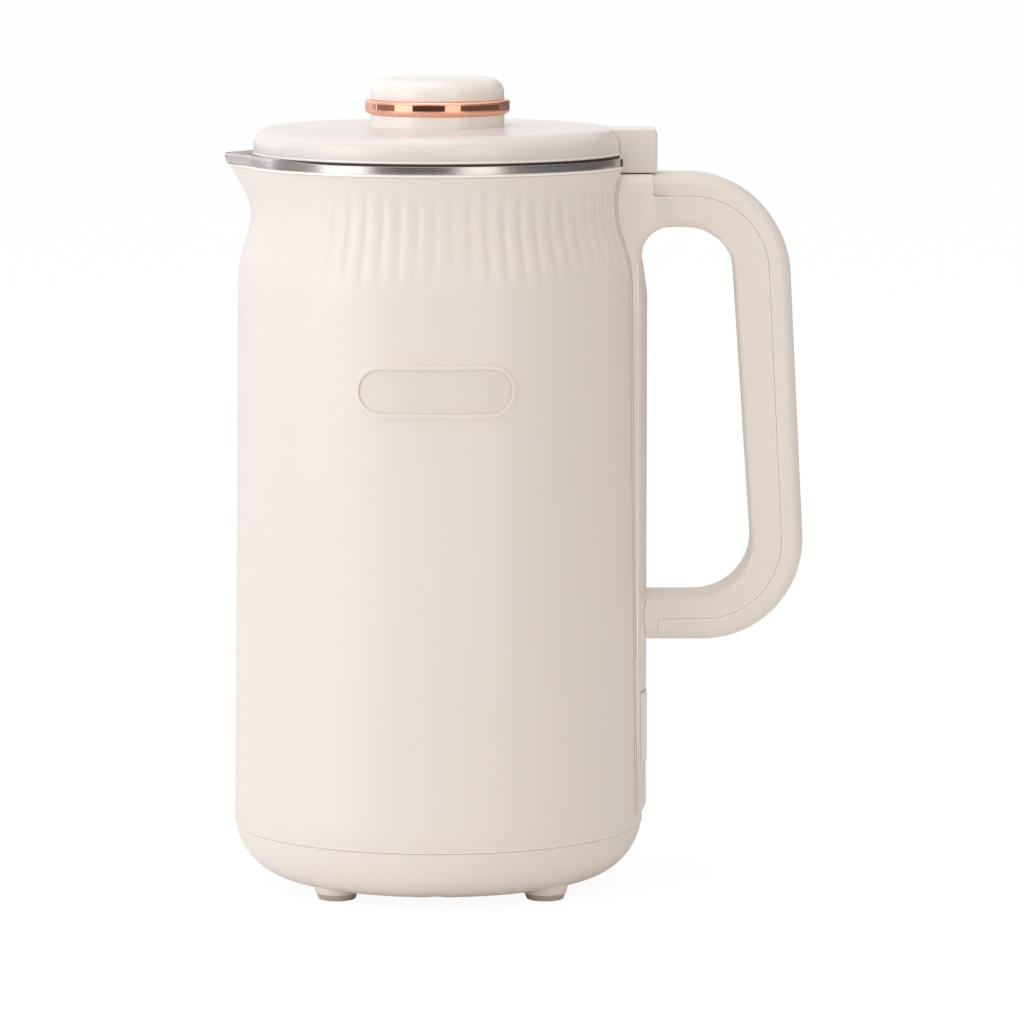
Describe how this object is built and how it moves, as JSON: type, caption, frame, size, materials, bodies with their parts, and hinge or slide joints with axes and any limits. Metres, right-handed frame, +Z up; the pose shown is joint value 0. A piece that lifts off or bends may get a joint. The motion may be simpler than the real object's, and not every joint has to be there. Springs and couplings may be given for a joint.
{
  "type": "nut milk maker",
  "caption": "Countertop jug that blends and heats nut milk: steel cup with bent blades, pouring spout, fluted neck, loop handle and a lift-off lid with a ringed knob.",
  "frame": {"origin": "centre of the whole object's footprint box, on the table under the feet", "axes": "+X towards the handle, +Y away from the badge towards the touch panel, +Z up; the spout points along -X; metres"},
  "size_m": [0.1848, 0.1316, 0.2599],
  "materials": {
    "shell": "satin warm white moulding",
    "lid_gloss": "glossy warm white moulding",
    "liner": "plain white moulding",
    "panel": "glossy dark window",
    "steel": "brushed stainless steel",
    "rose_metal": "polished rose gold plating",
    "pads": "soft grey-beige rubber",
    "silicone": "translucent white silicone",
    "damper_rubber": "black rubber",
    "dark_plastic": "black moulding",
    "circuit_board": "green laminate",
    "screws": "zinc plated",
    "contacts": "plain brass",
    "copper": "enamelled copper wire",
    "aluminium": "plain cast",
    "plated_sheet": "zinc plated sheet",
    "core_iron": "stacked laminations",
    "bearing_steel": "ground steel",
    "spring_steel": "spring wire",
    "carbon": "carbon block"
  },
  "bodies": {
    "jug": {"outer_housing": "shell", "badge_frame": "shell", "badge_plate": "shell", "touch_panel": "panel", "control_board": "circuit_board", "base_cover": "shell", "base_screws": "screws", "foot_pad_1": "pads", "foot_pad_2": "pads", "foot_pad_3": "pads", "foot_pad_4": "pads", "inner_cup": "steel", "cup_gasket": "silicone", "spout_rim": "steel", "handle_body": "shell", "handle_cover": "shell", "handle_screws": "screws", "lid_switch": "dark_plastic", "plunger_spring": "spring_steel", "power_inlet": "dark_plastic", "inlet_pins": "contacts", "heater_plate": "aluminium", "heater_tube": "aluminium", "temperature_sensor": "dark_plastic", "thermal_fuse": "contacts", "seal_housing": "steel", "shaft_seal": "silicone", "motor_mount": "plated_sheet", "motor_dampers": "damper_rubber", "motor_screws": "screws", "upper_bearing": "bearing_steel", "lower_bearing": "bearing_steel", "motor_can": "plated_sheet", "stator_core": "core_iron", "stator_coils": "copper", "brush_holders": "contacts", "brushes": "carbon", "power_board": "circuit_board", "power_relay": "dark_plastic", "filter_capacitor": "dark_plastic"},
    "lid": {"lid_shell": "lid_gloss", "lid_liner": "liner", "lid_seal": "silicone", "lid_tab": "lid_gloss", "knob_collar": "lid_gloss", "knob_ring": "rose_metal", "knob_cap": "lid_gloss", "knob_screw": "screws", "probe_bush": "silicone", "overflow_probe": "steel"},
    "blade_rotor": {"motor_shaft": "bearing_steel", "armature_core": "core_iron", "armature_windings": "copper", "commutator": "copper", "cooling_fan": "dark_plastic", "blade_spacers": "steel", "lower_blade": "steel", "upper_blade": "steel", "blade_nut": "steel"},
    "plunger": {"switch_plunger": "shell"}
  },
  "joints": [
    {"name": "lid_lift", "type": "slide", "parent": "jug", "child": "lid", "axis": [0, 0, 1], "range_m": [0, 0.06]},
    {"name": "blade_spin", "type": "hinge", "parent": "jug", "child": "blade_rotor", "pos_m": [-0.02445, 0, 0.1], "axis": [0, 0, 1], "continuous": true},
    {"name": "plunger_lift", "type": "slide", "parent": "jug", "child": "plunger", "axis": [0, 0, 1], "range_m": [0, 0.002], "deforming": ["plunger_spring"]}
  ],
  "couplings": [
    {"joint": "plunger_lift", "follows": "lid_lift", "ratio": 0.0333}
  ]
}
